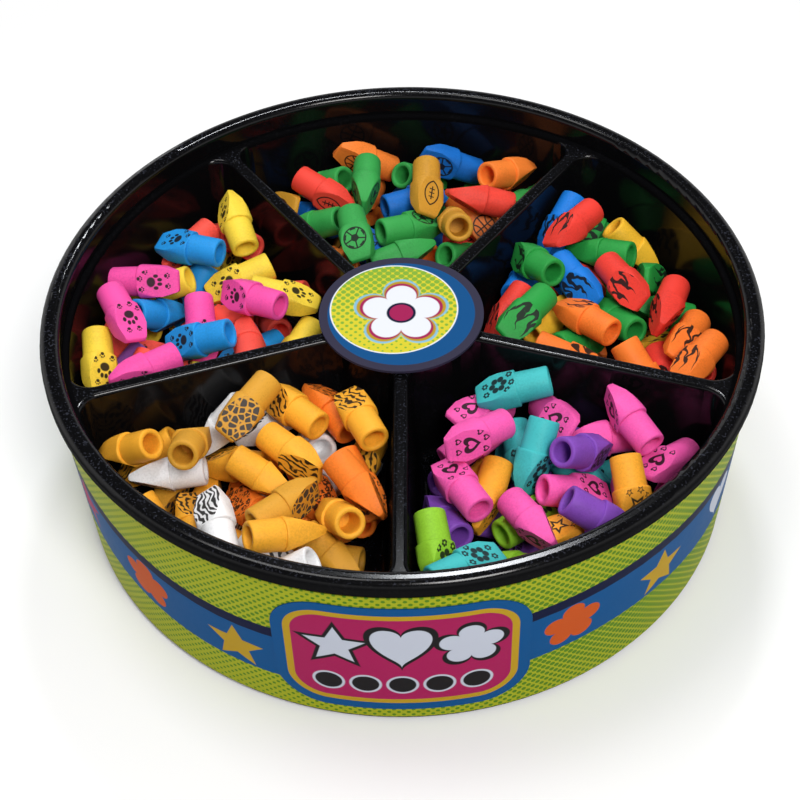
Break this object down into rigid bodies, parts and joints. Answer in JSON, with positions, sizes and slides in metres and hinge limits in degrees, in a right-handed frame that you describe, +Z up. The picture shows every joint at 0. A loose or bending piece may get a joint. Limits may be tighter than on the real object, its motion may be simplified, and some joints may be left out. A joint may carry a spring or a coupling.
{
  "type": "eraser topper display tub",
  "caption": "Round counter tub with a printed drum and a lift-out tray of pockets, heaped with chisel-shaped pencil eraser toppers in many colours.",
  "frame": {"origin": "centre of the drum's foot, on the surface that it stands on", "axes": "+Z up through the hub; the front badge and a divider face -Y"},
  "size_m": [0.254, 0.254, 0.082],
  "materials": {
    "drum_black": "black moulded plastic",
    "tray_black": "glossy black formed sheet",
    "label_print": "printed film, lime with dots and a blue band",
    "badge_print": "printed film, white with coloured borders",
    "hub_print": "printed card disc, yellow with dots and a dark border",
    "front_left_gold": "matte eraser with a printed pattern on its flat faces",
    "front_left_white": "matte eraser with a printed pattern on its flat faces",
    "front_left_orange": "matte eraser with a printed pattern on its flat faces",
    "front_left_tan": "matte eraser with a printed pattern on its flat faces",
    "front_right_pink": "matte eraser with a printed pattern on its flat faces",
    "front_right_purple": "matte eraser with a printed pattern on its flat faces",
    "front_right_teal": "matte eraser with a printed pattern on its flat faces",
    "front_right_amber": "matte eraser with a printed pattern on its flat faces",
    "front_right_lime": "matte eraser with a printed pattern on its flat faces",
    "right_green": "matte eraser with a printed pattern on its flat faces",
    "right_red": "matte eraser with a printed pattern on its flat faces",
    "right_orange": "matte eraser with a printed pattern on its flat faces",
    "right_blue": "matte eraser with a printed pattern on its flat faces",
    "right_yellow": "matte eraser with a printed pattern on its flat faces",
    "back_green": "matte eraser with a printed pattern on its flat faces",
    "back_orange": "matte eraser with a printed pattern on its flat faces",
    "back_red": "matte eraser with a printed pattern on its flat faces",
    "back_blue": "matte eraser with a printed pattern on its flat faces",
    "back_mustard": "matte eraser with a printed pattern on its flat faces",
    "left_red": "matte eraser with a printed pattern on its flat faces",
    "left_yellow": "matte eraser with a printed pattern on its flat faces",
    "left_blue": "matte eraser with a printed pattern on its flat faces",
    "left_pink": "matte eraser with a printed pattern on its flat faces",
    "left_purple": "matte eraser with a printed pattern on its flat faces"
  },
  "bodies": {
    "drum": {"drum": "drum_black", "wrap_label": "label_print", "front_badge": "badge_print"},
    "tray": {"tray": "tray_black", "hub_label": "hub_print", "front_left_orange_toppers": "front_left_orange", "front_left_white_toppers": "front_left_white", "front_left_gold_toppers": "front_left_gold", "front_left_tan_toppers": "front_left_tan", "front_right_purple_toppers": "front_right_purple", "front_right_teal_toppers": "front_right_teal", "front_right_amber_toppers": "front_right_amber", "front_right_pink_toppers": "front_right_pink", "front_right_lime_toppers": "front_right_lime", "right_orange_toppers": "right_orange", "right_green_toppers": "right_green", "right_red_toppers": "right_red", "right_yellow_toppers": "right_yellow", "right_blue_toppers": "right_blue", "back_blue_toppers": "back_blue", "back_mustard_toppers": "back_mustard", "back_red_toppers": "back_red", "back_orange_toppers": "back_orange", "back_green_toppers": "back_green", "left_yellow_toppers": "left_yellow", "left_red_toppers": "left_red", "left_purple_toppers": "left_purple", "left_blue_toppers": "left_blue", "left_pink_toppers": "left_pink"},
    "front_left_topper_1": {"front_left_loose_tan_topper_1": "front_left_tan"},
    "front_left_topper_2": {"front_left_loose_gold_topper_2": "front_left_gold"},
    "front_right_topper_1": {"front_right_loose_pink_topper_1": "front_right_pink"},
    "front_right_topper_2": {"front_right_loose_teal_topper_2": "front_right_teal"},
    "right_topper_2": {"right_loose_green_topper_2": "right_green"},
    "right_topper_1": {"right_loose_red_topper_1": "right_red"},
    "back_topper_2": {"back_loose_green_topper_2": "back_green"},
    "back_topper_1": {"back_loose_green_topper_1": "back_green"},
    "left_topper_1": {"left_loose_pink_topper_1": "left_pink"},
    "left_topper_2": {"left_loose_pink_topper_2": "left_pink"}
  },
  "joints": [
    {"name": "tray_lift", "type": "slide", "parent": "drum", "child": "tray", "axis": [0, 0, 1], "range_m": [0, 0.08]},
    {"name": "front_left_topper_1_lift", "type": "slide", "parent": "tray", "child": "front_left_topper_1", "axis": [0, 0, 1], "range_m": [0, 0.1]},
    {"name": "front_left_topper_2_lift", "type": "slide", "parent": "tray", "child": "front_left_topper_2", "axis": [0, 0, 1], "range_m": [0, 0.1]},
    {"name": "front_right_topper_1_lift", "type": "slide", "parent": "tray", "child": "front_right_topper_1", "axis": [0, 0, 1], "range_m": [0, 0.1]},
    {"name": "front_right_topper_2_lift", "type": "slide", "parent": "tray", "child": "front_right_topper_2", "axis": [0, 0, 1], "range_m": [0, 0.1]},
    {"name": "right_topper_2_lift", "type": "slide", "parent": "tray", "child": "right_topper_2", "axis": [0, 0, 1], "range_m": [0, 0.1]},
    {"name": "right_topper_1_lift", "type": "slide", "parent": "tray", "child": "right_topper_1", "axis": [0, 0, 1], "range_m": [0, 0.1]},
    {"name": "back_topper_2_lift", "type": "slide", "parent": "tray", "child": "back_topper_2", "axis": [0, 0, 1], "range_m": [0, 0.1]},
    {"name": "back_topper_1_lift", "type": "slide", "parent": "tray", "child": "back_topper_1", "axis": [0, 0, 1], "range_m": [0, 0.1]},
    {"name": "left_topper_1_lift", "type": "slide", "parent": "tray", "child": "left_topper_1", "axis": [0, 0, 1], "range_m": [0, 0.1]},
    {"name": "left_topper_2_lift", "type": "slide", "parent": "tray", "child": "left_topper_2", "axis": [0, 0, 1], "range_m": [0, 0.1]}
  ]
}
